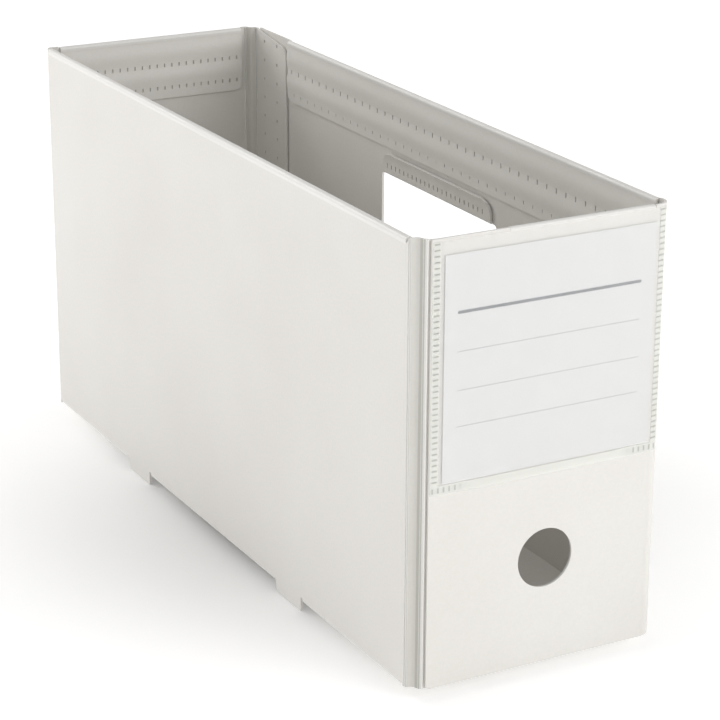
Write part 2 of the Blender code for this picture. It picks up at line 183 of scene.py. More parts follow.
# Weld marks: pressed dents, each (width, height), and the rows and columns they stand in.
WELD_DEPTH = 0.00042
WELD_TAPER = 0.45
WELD_LIFT = 0.0001
WELD_MOUTH = 1.12
WELD_CORNER = 0.7
ROW_1 = 0.0131
ROW_2 = 0.0232
HEM_INSETS = (0.004, 0.006)
HEM_PITCH = 0.0065
HEM_MARKS = ((0.0007, 0.0020), (0.0006, 0.0018))
RIGHT_MARKS = ((0.0008, 0.0020), (0.0005, 0.0015))
BACK_INSETS = (0.0025, 0.0025)
BACK_PITCH = 0.00355
BACK_MARKS = ((0.0008, 0.0018), (0.0008, 0.0018))
GRIP_ROW = (-0.0396, 0.0353, 0.1318)
GRIP_PITCH = 0.0034
GRIP_MARK = (0.0007, 0.0020)
FLAP_COLUMNS = (0.0205, 0.0085)
FLAP_COLUMN_FOOT = 0.006
FLAP_COLUMN_TOP = 0.0027
FLAP_PITCH = 0.0082
FLAP_MARK = (0.0012, 0.0014)

# Creases and the strips between them.
LIP = 0.00026
GROOVE = 0.00048
BEAD = 0.0006
RIDGE = 0.00065
RIDGE_SPAN = 0.66
HOLLOW = 0.0002
STRIP_SINK = 0.0008
BEAD_ROOM = 0.00006


# ---------------------------------------- node helpers
def new_material(name):
    """An empty node material and its Principled shader."""
    made = bpy.data.materials.new(name)
    made.use_nodes = True
    shader = made.node_tree.nodes["Principled BSDF"]
    return made, made.node_tree, shader


def noise(tree, scale, detail=2.0, stretch=None):
    """A noise texture in the object's own coordinates."""
    coords = tree.nodes.new("ShaderNodeTexCoord")
    node = tree.nodes.new("ShaderNodeTexNoise")
    node.inputs["Scale"].default_value = scale
    node.inputs["Detail"].default_value = detail
    source = coords.outputs["Object"]
    if stretch:
        mapping = tree.nodes.new("ShaderNodeMapping")
        mapping.inputs["Scale"].default_value = stretch
        tree.links.new(source, mapping.inputs["Vector"])
        source = mapping.outputs["Vector"]
    tree.links.new(source, node.inputs["Vector"])
    return node.outputs["Fac"]


def ramp(tree, source, stops):
    """A colour ramp through (position, colour) stops."""
    node = tree.nodes.new("ShaderNodeValToRGB")
    elements = node.color_ramp.elements
    while len(elements) < len(stops):
        elements.new(0.5)
    for element, (position, colour) in zip(elements, stops):
        element.position = position
        element.color = (*colour, 1.0)
    tree.links.new(source, node.inputs["Fac"])
    return node.outputs["Color"]


def spread(tree, source, low, high):
    """Map a 0.35 to 0.65 noise value onto a range."""
    node = tree.nodes.new("ShaderNodeMapRange")
    node.inputs["From Min"].default_value = 0.35
    node.inputs["From Max"].default_value = 0.65
    node.inputs["To Min"].default_value = low
    node.inputs["To Max"].default_value = high
    tree.links.new(source, node.inputs["Value"])
    return node.outputs["Result"]


def bump(tree, source, distance, strength, below=None):
    """A bump node, optionally on top of another one."""
    node = tree.nodes.new("ShaderNodeBump")
    node.inputs["Distance"].default_value = distance
    node.inputs["Strength"].default_value = strength
    tree.links.new(source, node.inputs["Height"])
    if below:
        tree.links.new(below, node.inputs["Normal"])
    return node.outputs["Normal"]


def mixed(tree, mode, amount, first, second):
    """Mix two colours by a fixed amount."""
    node = tree.nodes.new("ShaderNodeMix")
    node.data_type = "RGBA"
    node.blend_type = mode
    node.inputs["Factor"].default_value = amount
    tree.links.new(first, node.inputs["A"])
    tree.links.new(second, node.inputs["B"])
    return node.outputs["Result"]


def plastic(name, dark, light, roughness, grain):
    """Calendered polypropylene sheet: soft clouding, fine grain, faint roll marks."""
    made, tree, shader = new_material(name)
    clouds = noise(tree, 11.0, 3.0)
    base = ramp(tree, clouds, ((0.32, dark), (0.68, light)))
    specks = noise(tree, 900.0, 2.0)
    speck_colour = ramp(tree, specks, ((0.3, (0.955, 0.95, 0.94)), (0.7, (1.0, 1.0, 1.0))))
    colour = mixed(tree, "MULTIPLY", 0.55, base, speck_colour)
    tree.links.new(colour, shader.inputs["Base Color"])
    smears = noise(tree, 26.0, 4.0)
    rough = spread(tree, smears, roughness - 0.05, roughness + 0.06)
    tree.links.new(rough, shader.inputs["Roughness"])
    waves = noise(tree, 9.0, 1.0)
    soft = bump(tree, waves, 0.0016, 0.22)
    fine = noise(tree, 2600.0, 2.0)
    tree.links.new(bump(tree, fine, 0.00004, grain, soft), shader.inputs["Normal"])
    shader.inputs["IOR"].default_value = 1.49
    return made


def film(name, dark, light, clarity, roughness, relief):
    """Clear film: gloss, faint haze and slow ripples; clarity is its range of alpha."""
    made, tree, shader = new_material(name)
    haze = noise(tree, 16.0, 2.0)
    tree.links.new(ramp(tree, haze, ((0.3, dark), (0.7, light))), shader.inputs["Base Color"])
    tree.links.new(spread(tree, haze, *roughness), shader.inputs["Roughness"])
    tree.links.new(spread(tree, haze, *clarity), shader.inputs["Alpha"])
    ripples = noise(tree, 14.0, 1.0)
    tree.links.new(bump(tree, ripples, 0.0006, relief), shader.inputs["Normal"])
    shader.inputs["IOR"].default_value = 1.46
    return made


def paper(name, dark, light, roughness):
    """Uncoated card: faint fibres in colour, roughness and relief."""
    made, tree, shader = new_material(name)
    pulp = noise(tree, 260.0, 5.0)
    fibres = noise(tree, 1400.0, 4.0, (1.0, 1.0, 0.35))
    base = ramp(tree, pulp, ((0.3, dark), (0.7, light)))
    threads = ramp(tree, fibres, ((0.35, (0.975, 0.975, 0.975)), (0.6, (1.0, 1.0, 1.0))))
    tree.links.new(mixed(tree, "MULTIPLY", 0.6, base, threads), shader.inputs["Base Color"])
    rough = spread(tree, pulp, roughness - 0.08, roughness + 0.06)
    tree.links.new(rough, shader.inputs["Roughness"])
    tree.links.new(bump(tree, fibres, 0.00003, 0.6), shader.inputs["Normal"])
    return made


def floor_material():
    """A pale studio floor with a trace of unevenness, glowing more the farther it lies from the holder: a
    painted glow, and a painted soft shadow near the holder.
    """
    made, tree, shader = new_material("studio_floor_look")
    patch = noise(tree, 3.0, 2.0)
    colour = ramp(tree, patch, ((0.3, (0.93, 0.93, 0.93)), (0.7, (0.95, 0.95, 0.95))))
    tree.links.new(colour, shader.inputs["Base Color"])
    tree.links.new(spread(tree, patch, 0.75, 0.85), shader.inputs["Roughness"])
    coords = tree.nodes.new("ShaderNodeTexCoord")
    reach = tree.nodes.new("ShaderNodeVectorMath")
    reach.operation = "LENGTH"
    tree.links.new(coords.outputs["Object"], reach.inputs[0])
    tree.links.new(ramp(tree, reach.outputs["Value"], FLOOR_GLOW_AND_SHADOW), shader.inputs["Emission Color"])
    shader.inputs["Emission Strength"].default_value = 1.0
    return made


SHEET_LOOK = plastic("polypropylene_look", (0.745, 0.725, 0.690), (0.785, 0.770, 0.738), 0.46, 0.35)
# Cut edges take a lighter look than the sheet: a painted highlight on the rounded edges.
EDGE_HIGHLIGHT_LOOK = plastic("cut_edge_painted_highlight_look", (0.82, 0.81, 0.78), (0.87, 0.86, 0.835), 0.36, 0.15)
# Weld dents take a darker look than the sheet: painted shade in the dents.
WELD_SHADE_LOOK = plastic("weld_mark_painted_shade_look", (0.54, 0.52, 0.48), (0.63, 0.61, 0.57), 0.30, 0.15)
# Creases take a lighter look than the sheet: a painted highlight along the crease lines.
CREASE_HIGHLIGHT_LOOK = plastic("crease_painted_highlight_look", (0.80, 0.785, 0.755), (0.85, 0.84, 0.81), 0.34, 0.2)
# Pressed strips take a darker look: painted shade standing in for the shade in the concave strips between the
# creases.
STRIP_SHADE_LOOK = plastic("pressed_strip_painted_shade_look", (0.65, 0.635, 0.59), (0.70, 0.69, 0.65), 0.38, 0.25)
# A still darker look beside the front ridge: a painted shadow cast by the ridge.
RIDGE_SHADOW_LOOK = plastic("painted_ridge_shadow_look", (0.49, 0.48, 0.44), (0.54, 0.53, 0.49), 0.40, 0.25)
FILM_LOOK = film("clear_film_look", (0.90, 0.90, 0.885), (0.95, 0.95, 0.935),
                 (0.15, 0.19), (0.16, 0.22), 0.12)
MARGIN_LOOK = film("film_margin_look", (0.90, 0.905, 0.86), (0.95, 0.955, 0.91),
                   (0.50, 0.58), (0.26, 0.34), 0.1)
BAR_LOOK = film("weld_bar_look", (0.52, 0.525, 0.48), (0.60, 0.605, 0.56),
                (0.60, 0.70), (0.28, 0.36), 0.1)
CARD_LOOK = paper("card_paper_look", (0.725, 0.725, 0.728), (0.76, 0.76, 0.763), 0.82)
PRINT_LOOK = paper("printed_line_look", (0.115, 0.125, 0.145), (0.165, 0.175, 0.195), 0.70)
RULE_LOOK = paper("printed_rule_look", (0.40, 0.40, 0.41), (0.48, 0.48, 0.49), 0.75)
# Fold crests take a lighter look than the sheet: a painted highlight on the crests.
FOLD_HIGHLIGHT_LOOK = plastic("folded_crest_painted_highlight_look", (0.79, 0.775, 0.745), (0.84, 0.83, 0.805), 0.36, 0.2)
SHEET_LOOKS = (SHEET_LOOK, EDGE_HIGHLIGHT_LOOK, WELD_SHADE_LOOK, FOLD_HIGHLIGHT_LOOK)
STRIP_LOOKS = (STRIP_SHADE_LOOK, EDGE_HIGHLIGHT_LOOK, RIDGE_SHADOW_LOOK)
CREASE_LOOKS = (CREASE_HIGHLIGHT_LOOK, EDGE_HIGHLIGHT_LOOK, STRIP_SHADE_LOOK, SHEET_LOOK, RIDGE_SHADOW_LOOK)

# Each look's place in those lists.
FIRST = 0
EDGE = SHEET_LOOKS.index(EDGE_HIGHLIGHT_LOOK)
WELD = SHEET_LOOKS.index(WELD_SHADE_LOOK)
FOLD = SHEET_LOOKS.index(FOLD_HIGHLIGHT_LOOK)
STRIP_RIDGE_SHADOW = STRIP_LOOKS.index(RIDGE_SHADOW_LOOK)
CREASE_STRIP_SHADE = CREASE_LOOKS.index(STRIP_SHADE_LOOK)
CREASE_SHEET = CREASE_LOOKS.index(SHEET_LOOK)
CREASE_RIDGE_SHADOW = CREASE_LOOKS.index(RIDGE_SHADOW_LOOK)


# ---------------------------------------- places of the walls
def on_left(u, v, w):
    """A point of the left wall: u along Y, v up, w inward from its middle."""
    return Vector((LEFT_MID + w, u, v))


def on_right(u, v, w):
    """A point of the right wall: u along Y, v up, w inward from its middle."""
    return Vector((RIGHT_MID - w, u, v))


def on_front(u, v, w):
    """A point of the front wall: u along X, v up, w inward from its middle."""
    return Vector((u, FRONT_MID + w, v))


def on_back(u, v, w):
    """A point of the back wall: u along X, v up, w inward from its middle."""
    return Vector((u, BACK_MID - w, v))


def in_plan(u, v, w):
    """A point of a flat plate: u along X, v along Y, w up."""
    return Vector((u, v, w))


def across_y(u, v, w):
    """A point in a plane across Y: u along X, v up, w along Y."""
    return Vector((u, w, v))


# ---------------------------------------- outlines
def arc(centre, radius, start, end, steps):
    """Points on a circle from one angle to another, both ends included."""
    points = []
    for step in range(steps + 1):
        angle = math.radians(start + (end - start) * step / steps)
        points.append((centre[0] + radius * math.cos(angle), centre[1] + radius * math.sin(angle)))
    return points


def steps_between(low, high, step):
    """Evenly spaced values, both ends included."""
    count = max(1, round((high - low) / step))
    return [low + (high - low) * index / count for index in range(count + 1)]


def graded(*stretches):
    """Values through (start, end, step) stretches, each starting where the last one ended."""
    values = []
    for low, high, step in stretches:
        values += steps_between(low, high, step)[1 if values else 0:]
    return values


def rectangle(left, low, right, high):
    """The four corners of a rectangle, anticlockwise."""
    return [(left, low), (right, low), (right, high), (left, high)]


def softened(before, corner, after, radius, steps=6):
    """Points that replace a corner by a quadratic curve of about the radius."""
    corner = Vector(corner)
    start = corner + (Vector(before) - corner).normalized() * radius
    end = corner + (Vector(after) - corner).normalized() * radius
    points = []
    for step in range(steps + 1):
        t = step / steps
        points.append(tuple(start * (1 - t) ** 2 + corner * 2 * t * (1 - t) + end * t ** 2))
    return points


def rounded(points, radii):
    """An outline with its corners softened by the matching radii."""
    outline = []
    for index, (corner, radius) in enumerate(zip(points, radii)):
        if radius:
            after = points[(index + 1) % len(points)]
            outline.extend(softened(points[index - 1], corner, after, radius))
        else:
            outline.append(corner)
    return outline


def tabbed_edge(start, end, level):
    """A side wall's lower edge from front to back, with both foot tabs."""
    points = [(start, level)]
    for front, back in TAB_SPANS:
        notch = front - TAB_NOTCH_WIDTH
        points.append((notch, level))
        points.append((notch + TAB_NOTCH_WIDTH / 2, level + TAB_NOTCH_HEIGHT))
        points.append((front, level + TAB_NOTCH_END))
        points.extend(softened((front, level), (front, 0.0), (back, 0.0), TAB_FRONT_CORNER, 3))
        tip = (back - TAB_SLOPE, 0.0)
        points.extend(softened((front, 0.0), tip, (back, level), TAB_CORNER))
        points.extend(softened(tip, (back, level), (end, level), TAB_ROOT_CORNER, 3))
    points.append((end, level))
    return points


def rim_edge(end, start, hem_end, hem_start, base, top=RIM):
    """A wall's top edge from its far end back to its start, with the hem's base between V cuts."""
    return [(end, top), (hem_end + NOTCH, top), (hem_end, base), (hem_start, base),
            (hem_start - NOTCH, top), (start, top)]


# ---------------------------------------- mesh helpers
def new_object(name, shape, looks):
    """Turn a bmesh into an object with its materials."""
    mesh = bpy.data.meshes.new(name)
    shape.to_mesh(mesh)
    shape.free()
    for look in looks:
        mesh.materials.append(look)
    item = bpy.data.objects.new(name, mesh)
    bpy.context.scene.collection.objects.link(item)
    return item


def applied(item):
    """Replace the mesh by what its modifiers give."""
    bpy.context.view_layer.update()
    seen = item.evaluated_get(bpy.context.evaluated_depsgraph_get())
    mesh = bpy.data.meshes.new_from_object(seen)
    old = item.data
    item.modifiers.clear()
    item.data = mesh
    bpy.data.meshes.remove(old)
    mesh.name = item.name


def thickened(item, thickness, even=False):
    """Give a middle surface its thickness, half to each side."""
    modifier = item.modifiers.new("thickness", "SOLIDIFY")
    modifier.thickness = thickness
    modifier.offset = 0.0
    modifier.use_even_offset = even
    applied(item)


def round_edges(item, width=EDGE_ROUNDING, segments=2, look=EDGE):
    """Soften every sharp edge, in the lighter cut-edge look, a painted highlight."""
    bevel = item.modifiers.new("edges", "BEVEL")
    bevel.width = width
    bevel.segments = segments
    bevel.limit_method = "ANGLE"
    bevel.angle_limit = math.radians(40)
    bevel.use_clamp_overlap = True
    bevel.material = look
    applied(item)


def merge_points(item):
    """Join points that the bevels left in one place."""
    shape = bmesh.new()
    shape.from_mesh(item.data)
    bmesh.ops.remove_doubles(shape, verts=shape.verts, dist=1e-6)
    shape.to_mesh(item.data)
    shape.free()


def smooth(item, angle=SHEET_ANGLE):
    """Smooth shading that keeps flat faces flat and real edges sharp."""
    merge_points(item)
    item.data.shade_smooth()
    item.data.set_sharp_from_angle(angle=math.radians(angle))
    weighted = item.modifiers.new("normals", "WEIGHTED_NORMAL")
    weighted.keep_sharp = True
    weighted.weight = 100
    applied(item)


def soften_strip(item):
    """Rounded edges and smooth shading for a narrow pressed piece."""
    round_edges(item, STRIP_ROUNDING)
    smooth(item, BEND_ANGLE)


def fill(shape, place, loops, depth):
    """Triangles that fill an outline with holes, at a depth on a wall."""
    flat = [point for loop in loops for point in loop]
    corners = [shape.verts.new(place(u, v, depth)) for u, v in flat]
    polygons = [[Vector((u, v, 0.0)) for u, v in loop] for loop in loops]
    triangles = tessellate_polygon(polygons)
    faces = [shape.faces.new([corners[index] for index in triangle]) for triangle in triangles]
    made = set(faces)
    inner = [edge for edge in shape.edges if len(edge.link_faces) == 2 and made.issuperset(edge.link_faces)]
    bmesh.ops.beautify_fill(shape, faces=faces, edges=inner, method="ANGLE")


def flat_piece(name, place, outline, depth, thickness, looks):
    """One flat outline with its thickness, at a depth on a wall."""
    shape = bmesh.new()
    fill(shape, place, [outline], depth)
    bmesh.ops.recalc_face_normals(shape, faces=shape.faces)
    item = new_object(name, shape, looks)
    thickened(item, thickness)
    return item


def pillow(distance, stations):
    """How far a hem bulges between its fold and its weld rows."""
    for low, high in zip(stations, stations[1:]):
        if low < distance < high:
            return PILLOW * math.sin(math.pi * (distance - low) / (high - low)) ** 2
    return 0.0


def fold_over(shape, place, start, end, base, rise, tip, corner, swell=0.0, stations=(), spring=0.0):
    """A tongue folded inward over an edge.

    The fold rises from the base (or drops, for a negative rise), may swell like a drop,
    and runs down to the tip, bulging between the stations where it is welded.  Its free
    edge may spring away from the wall.
    """
    rows = []
    for step in range(FOLD_STEPS + 1):
        angle = math.pi * step / FOLD_STEPS
        depth = LAYER / 2 - (LAYER / 2 + swell * math.sin(angle)) * math.cos(angle)
        rows.append((start, end, base + rise * math.sin(angle), depth))
    total = abs(tip - base)
    distances = graded((0.0, total - corner, PILLOW_STEP), (total - corner, total, corner / TIP_STEPS))
    for distance in distances[1:]:
        rest = max(0.0, corner - (total - distance))
        inset = corner - math.sqrt(corner ** 2 - min(rest, corner) ** 2)
        level = base - math.copysign(distance, rise)
        proud = pillow(distance, stations) + spring * (distance / total) ** 3
        rows.append((start + inset, end - inset, level, LAYER + proud))
    made = []
    for first, last, level, depth in rows:
        made.append([shape.verts.new(place(u, level, depth)) for u in (first, last)])
    for index, (first, second) in enumerate(zip(made, made[1:])):
        face = shape.faces.new((first[0], first[1], second[1], second[0]))
        # The fold's rows take the lighter fold look, a painted highlight.
        face.material_index = FOLD if index < FOLD_STEPS else FIRST


def hem_fold(start, end, base, rise, swell, tip=HEM_TIP):
    """The fold_over values of a rim hem, which bulges between its fold and its weld rows."""
    stations = (0.0, base - RIM + ROW_1, base - RIM + ROW_2)
    return start, end, base, rise, tip, HEM_CORNER, swell, stations


def sheet(name, place, loops, folds):
    """A creased sheet of the stock's thickness, from its middle surface."""
    shape = bmesh.new()
    fill(shape, place, loops, 0.0)
    for fold in folds:
        fold_over(shape, place, *fold)
    bmesh.ops.remove_doubles(shape, verts=shape.verts, dist=1e-6)
    bmesh.ops.recalc_face_normals(shape, faces=shape.faces)
    item = new_object(name, shape, SHEET_LOOKS)
    thickened(item, SHEET, even=True)
    round_edges(item)
    return item


def press_welds(item, place, face, marks):
    """Press tapered dents (u, v, width, height) into the face at a depth w of the wall; the dents take the
    darker weld look, painted shade.
    """
    cutter = bmesh.new()
    for u, v, width, height in marks:
        rings = []
        for lift, size in ((WELD_LIFT, WELD_MOUTH), (-WELD_DEPTH, WELD_TAPER)):
            half_w, half_h = width / 2 * size, height / 2 * (size + 1) / 2
            corners = rectangle(u - half_w, v - half_h, u + half_w, v + half_h)
            outline = rounded(corners, [min(half_w, half_h) * WELD_CORNER] * 4)[::3]
            rings.append([cutter.verts.new(place(a, b, face + lift)) for a, b in outline])
        count = len(rings[0])
        for index in range(count):
            after = (index + 1) % count
            cutter.faces.new((rings[0][index], rings[0][after], rings[1][after], rings[1][index]))
        cutter.faces.new(rings[0])
        cutter.faces.new(rings[1])
    bmesh.ops.recalc_face_normals(cutter, faces=cutter.faces)
    for polygon in cutter.faces:
        polygon.material_index = WELD
    tool = new_object(item.name + "_marks", cutter, SHEET_LOOKS)
    boolean = item.modifiers.new("welds", "BOOLEAN")
    boolean.operation = "DIFFERENCE"
    boolean.solver = "EXACT"
    boolean.object = tool
    applied(item)
    mesh = tool.data
    bpy.data.objects.remove(tool)
    bpy.data.meshes.remove(mesh)


def weld_row(start, end, level, pitch, mark):
    """A row of upright weld marks."""
    return [(across, level, *mark) for across in steps_between(start, end, pitch)]


def weld_column(across, low, high, pitch, mark):
    """A column of weld marks."""
    return [(across, level, *mark) for level in steps_between(low, high, pitch)]


def hem_welds(start, end, insets=HEM_INSETS, pitch=HEM_PITCH, marks=HEM_MARKS):
    """The two rows of weld marks that hold a hem down."""
    rows = []
    for drop, inset, mark in zip((ROW_1, ROW_2), insets, marks):
        rows += weld_row(start + inset, end - inset, RIM - drop, pitch, mark)
    return rows


def grooved(t):
    """Thickness outside and inside a pressed crease: a groove between two lips, and a bead inside."""
    lips = math.sin(math.pi * min(1.0, max(0.0, abs(t - 0.5) * 4.0))) ** 2
    centre = math.sin(math.pi * t) ** 10
    return HALF + LIP * lips - GROOVE * centre, HALF + BEAD * math.sin(math.pi * t) ** 6


def ridged(t):
    """Thickness outside and inside a crease pushed outward into a narrow ridge."""
    swell = math.sin(math.pi * min(1.0, t / RIDGE_SPAN)) ** 2
    return HALF + RIDGE * swell, HALF - HOLLOW * swell


def bend_section(before, corner, after, profile):
    """Outer and inner points round a bend between two straight ends."""
    before, corner, after = Vector(before), Vector(corner), Vector(after)
    section = []
    for step in range(BEND_STEPS + 1):
        t = step / BEND_STEPS
        point = before * (1 - t) ** 2 + corner * 2 * t * (1 - t) + after * t ** 2
        tangent = ((corner - before) * (1 - t) + (after - corner) * t).normalized()
        out = Vector((-tangent.y, tangent.x))
        outer, inner = profile(t)
        section.append((point + out * outer, point - out * inner))
    return section


def sunk_section(start, end, sink):
    """Outer and inner points of a strip that sinks a little between its creases."""
    start, end = Vector(start), Vector(end)
    along = (end - start).normalized()
    out = Vector((-along.y, along.x))
    section = []
    for step in range(BEND_STEPS + 1):
        t = step / BEND_STEPS
        middle = start.lerp(end, t) - out * sink * math.sin(math.pi * t) ** 1.5
        section.append((middle + out * HALF, middle - out * HALF))
    return section


def ribbon(name, section, low, high, looks, place=in_plan, bands=(), drop=0.0):
    """A closed strip: a section of outer and inner points drawn out from low to high.

    Each band (start, end, look) gives the faces in that share of the section their own look.
    The second half of the high end may slope down by the drop.
    """
    shape = bmesh.new()
    last = len(section) - 1
    ends = []
    for level, slope in ((low, 0.0), (high, drop)):
        levels = [level - slope * max(0.0, 2.0 * index / last - 1.0) for index in range(last + 1)]
        outer = [shape.verts.new(place(p.x, p.y, z)) for (p, q), z in zip(section, levels)]
        inner = [shape.verts.new(place(q.x, q.y, z)) for (p, q), z in zip(section, levels)]
        ends.append((outer, inner))
    (outer0, inner0), (outer1, inner1) = ends
    for index in range(last):
        made = [shape.faces.new((outer0[index], outer0[index + 1], outer1[index + 1], outer1[index])),
                shape.faces.new((inner0[index], inner1[index], inner1[index + 1], inner0[index + 1]))]
        made += [shape.faces.new((outer[index], inner[index], inner[index + 1], outer[index + 1]))
                 for outer, inner in ends]
        for start, end, look in bands:
            if start <= (index + 0.5) / last <= end:
                for face in made:
                    face.material_index = look
    shape.faces.new((outer0[0], outer1[0], inner1[0], inner0[0]))
    shape.faces.new((outer0[last], inner0[last], inner1[last], outer1[last]))
    bmesh.ops.remove_doubles(shape, verts=shape.verts, dist=1e-7)
    bmesh.ops.recalc_face_normals(shape, faces=shape.faces)
    return new_object(name, shape, looks)


# ---------------------------------------- camera, floor and light
VIEW_AZIMUTH = math.radians(-28.574)
VIEW_ELEVATION = math.radians(19.809)
VIEW_ROLL = math.radians(0.273)
VIEW_DISTANCE = 0.9910
VIEW_LENS = 123.7
AIM_OFFSET = Vector((0.0161, 0.0, -0.0191))

FLOOR_SIZE = 4.0
FLOOR_DROP = 0.0002
# The floor's glow by distance from the holder's middle: none near the holder, a painted soft shadow, and
# painted glow farther out.
FLOOR_GLOW_AND_SHADOW = ((0.05, (0.0, 0.0, 0.0)), (0.14, (0.26, 0.26, 0.26)), (0.27, (0.50, 0.50, 0.50)))
LAMP_AIM = (0.0, 0.0, 0.08)
SKY = ((0.0, (0.82, 0.82, 0.82)), (0.45, (0.78, 0.78, 0.78)), (0.8, (0.28, 0.28, 0.28)))
SKY_STRENGTH = 0.975
LAMPS = (
    ("front_light", (0.75, -1.4, 0.85), (1.0, 1.0), 8.8, (1.0, 0.995, 0.985)),
    ("left_light", (-0.75, 0.60, 0.35), (0.7, 0.7), 0.12, (1.0, 0.97, 0.94)),
    ("back_light", (-0.75, 1.2, 0.8), (0.7, 0.7), 6.3, (1.0, 0.985, 0.965)),
    ("top_light", (0.0, 0.1, 1.6), (1.2, 1.2), 2.6, (1.0, 1.0, 1.0)),
)


def make_camera():
    """The camera, turned round a point just right of and below the holder's middle."""
    low, high = CAD_BOX
    aim = (low + high) / 2 + AIM_OFFSET
    flat = math.cos(VIEW_ELEVATION)
    back = Vector((math.sin(VIEW_AZIMUTH) * flat, -math.cos(VIEW_AZIMUTH) * flat, math.sin(VIEW_ELEVATION)))
    right = Vector((0.0, 0.0, 1.0)).cross(back).normalized()
    up = back.cross(right)
    turned_right = right * math.cos(VIEW_ROLL) + up * math.sin(VIEW_ROLL)
    turned_up = up * math.cos(VIEW_ROLL) - right * math.sin(VIEW_ROLL)
    data = bpy.data.cameras.new("camera")
    data.lens = VIEW_LENS
    data.sensor_width = 36.0
    data.clip_start = 0.01
    data.clip_end = 50.0
    camera = bpy.data.objects.new("camera", data)
    bpy.context.scene.collection.objects.link(camera)
    turn = Matrix((turned_right, turned_up, back)).transposed().to_4x4()
    camera.matrix_world = Matrix.Translation(aim + back * VIEW_DISTANCE) @ turn
    bpy.context.scene.camera = camera


def area_light(name, place, size, power, colour):
    """A soft square light that points at the holder's middle."""
    data = bpy.data.lights.new(name, "AREA")
    data.shape = "RECTANGLE"
    data.size, data.size_y = size
    data.energy = power
    data.color = colour
    lamp = bpy.data.objects.new(name, data)
    bpy.context.scene.collection.objects.link(lamp)
    lamp.location = place
    lamp.rotation_mode = "QUATERNION"
    lamp.rotation_quaternion = (Vector(LAMP_AIM) - Vector(place)).to_track_quat("-Z", "Y")


def make_studio():
    """A pale floor that glows away from the holder, with a painted soft shadow near it, a bright even
    surround and soft lights.
    """
    shape = bmesh.new()
    bmesh.ops.create_grid(shape, x_segments=8, y_segments=8, size=FLOOR_SIZE)
    ground = new_object("studio_floor", shape, (floor_material(),))
    ground.location = (0.0, 0.0, CAD_BOX[0].z - FLOOR_DROP)
    world = bpy.data.worlds.new("studio")
    bpy.context.scene.world = world
    world.use_nodes = True
    tree = world.node_tree
    background = tree.nodes["Background"]
    direction = tree.nodes.new("ShaderNodeTexCoord")
    parts = tree.nodes.new("ShaderNodeSeparateXYZ")
    tree.links.new(direction.outputs["Generated"], parts.inputs["Vector"])
    tree.links.new(ramp(tree, parts.outputs["Z"], SKY), background.inputs["Color"])
    background.inputs["Strength"].default_value = SKY_STRENGTH
    for name, place, size, power, colour in LAMPS:
        area_light(name, place, size, power, colour)
    bpy.context.scene.view_settings.view_transform = "Standard"


make_camera()
make_studio()


# ---------------------------------------- left wall and back wall
def left_wall():
    """The left wall with its rim hem and foot tabs."""
    start, end = LEFT_LOW.y, LEFT_HIGH.y
    hem_start, hem_end = start + HEM_END, end - HEM_END
    level = PLATE_MID + CREASE_EDGE
    base = RIM - HALF - LEFT_RISE
    outline = tabbed_edge(start, end, level)
    outline += rim_edge(end, start, hem_end, hem_start, base, RIM - OPEN_END)
    fold = hem_fold(hem_start, hem_end, base, LEFT_RISE, LEFT_SWELL)
    wall = sheet("left_wall_sheet", on_left, [outline], [fold])
    press_welds(wall, on_left, LAYER + HALF, hem_welds(hem_start, hem_end))
    smooth(wall)
    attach(wall, "left_wall")
    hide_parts("left_panel", "left_hem")


def back_wall():
    """The back wall with its rim hem, welded in two close rows."""
    start, end = BACK_LOW.x, BACK_HIGH.x
    hem_start, hem_end = BACK_HEM[0].x, BACK_HEM[1].x
    base = RIM - HALF - HEM_RISE
    outline = [(start, FLOOR), (end, FLOOR)] + rim_edge(end, start, hem_end, hem_start, base)
    fold = hem_fold(hem_start, hem_end, base, HEM_RISE, HEM_SWELL)
    wall = sheet("back_wall_sheet", on_back, [outline], [fold])
    marks = hem_welds(hem_start, hem_end, BACK_INSETS, BACK_PITCH, BACK_MARKS)
    press_welds(wall, on_back, LAYER + HALF, marks)
    smooth(wall)
    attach(wall, "back_wall")
    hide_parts("back_panel", "back_hem")


def crease(name, node, before, pivot, after, profile=grooved, bands=(), drop=0.0):
    """A living hinge of the ring, its outside on the left hand going from before to after."""
    section = bend_section(before, pivot, after, profile)
    # The crease takes the lighter crease look, a painted highlight, with bands in other looks.
    item = ribbon(name, section, FLOOR, RIM, CREASE_LOOKS, bands=bands, drop=drop)
    soften_strip(item)
    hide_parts(node)
    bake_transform(item)


def strip(name, node, start, end, body, bands=()):
    """A narrow corner strip, its outside on the left hand going from start to end."""
    # The strip takes the darker strip look, painted shade.
    item = ribbon(name, sunk_section(start, end, STRIP_SINK), FLOOR, RIM, STRIP_LOOKS, bands=bands)
    soften_strip(item)
    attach(item, body)
    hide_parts(node)


